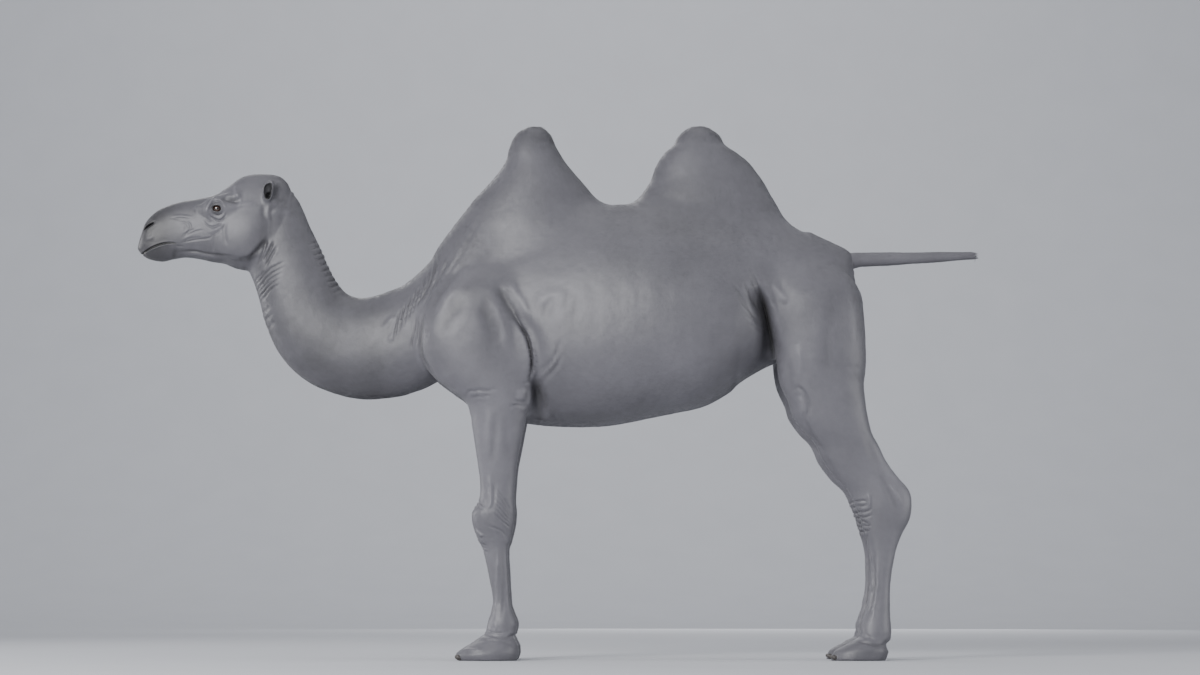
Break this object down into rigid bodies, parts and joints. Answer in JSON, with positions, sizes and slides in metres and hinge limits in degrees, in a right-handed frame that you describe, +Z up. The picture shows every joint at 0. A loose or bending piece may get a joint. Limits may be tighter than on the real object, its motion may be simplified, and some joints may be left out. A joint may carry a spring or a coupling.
{
  "type": "bactrian camel",
  "caption": "Two-humped camel at life size, standing square with a low curved neck, level head, straight tail and broad padded feet.",
  "frame": {"origin": "on the ground, under the middle of the bounding box", "axes": "+Z up, -X the way the camel faces, -Y its left side"},
  "size_m": [3.406, 0.68, 2.167],
  "materials": {
    "coat": "short sleek grey-brown summer coat over skin",
    "eye": "wet, dark brown",
    "horn": "dark satin horn"
  },
  "bodies": {
    "root": {"head": "coat", "jaw": "coat", "neck_upper": "coat", "neck_lower": "coat", "trunk": "coat", "hump_front": "coat", "hump_rear": "coat", "tail": "coat", "ear_left": "coat", "forearm_left": "coat", "fore_cannon_left": "coat", "shank_left": "coat", "hind_cannon_left": "coat", "forefoot_left": "coat", "hindfoot_left": "coat", "eye_left": "eye", "fore_nail_left_1": "horn", "fore_nail_left_2": "horn", "hind_nail_left_1": "horn", "hind_nail_left_2": "horn", "ear_right": "coat", "forearm_right": "coat", "fore_cannon_right": "coat", "shank_right": "coat", "hind_cannon_right": "coat", "forefoot_right": "coat", "hindfoot_right": "coat", "eye_right": "eye", "fore_nail_right_1": "horn", "fore_nail_right_2": "horn", "hind_nail_right_1": "horn", "hind_nail_right_2": "horn"}
  },
  "joints": []
}
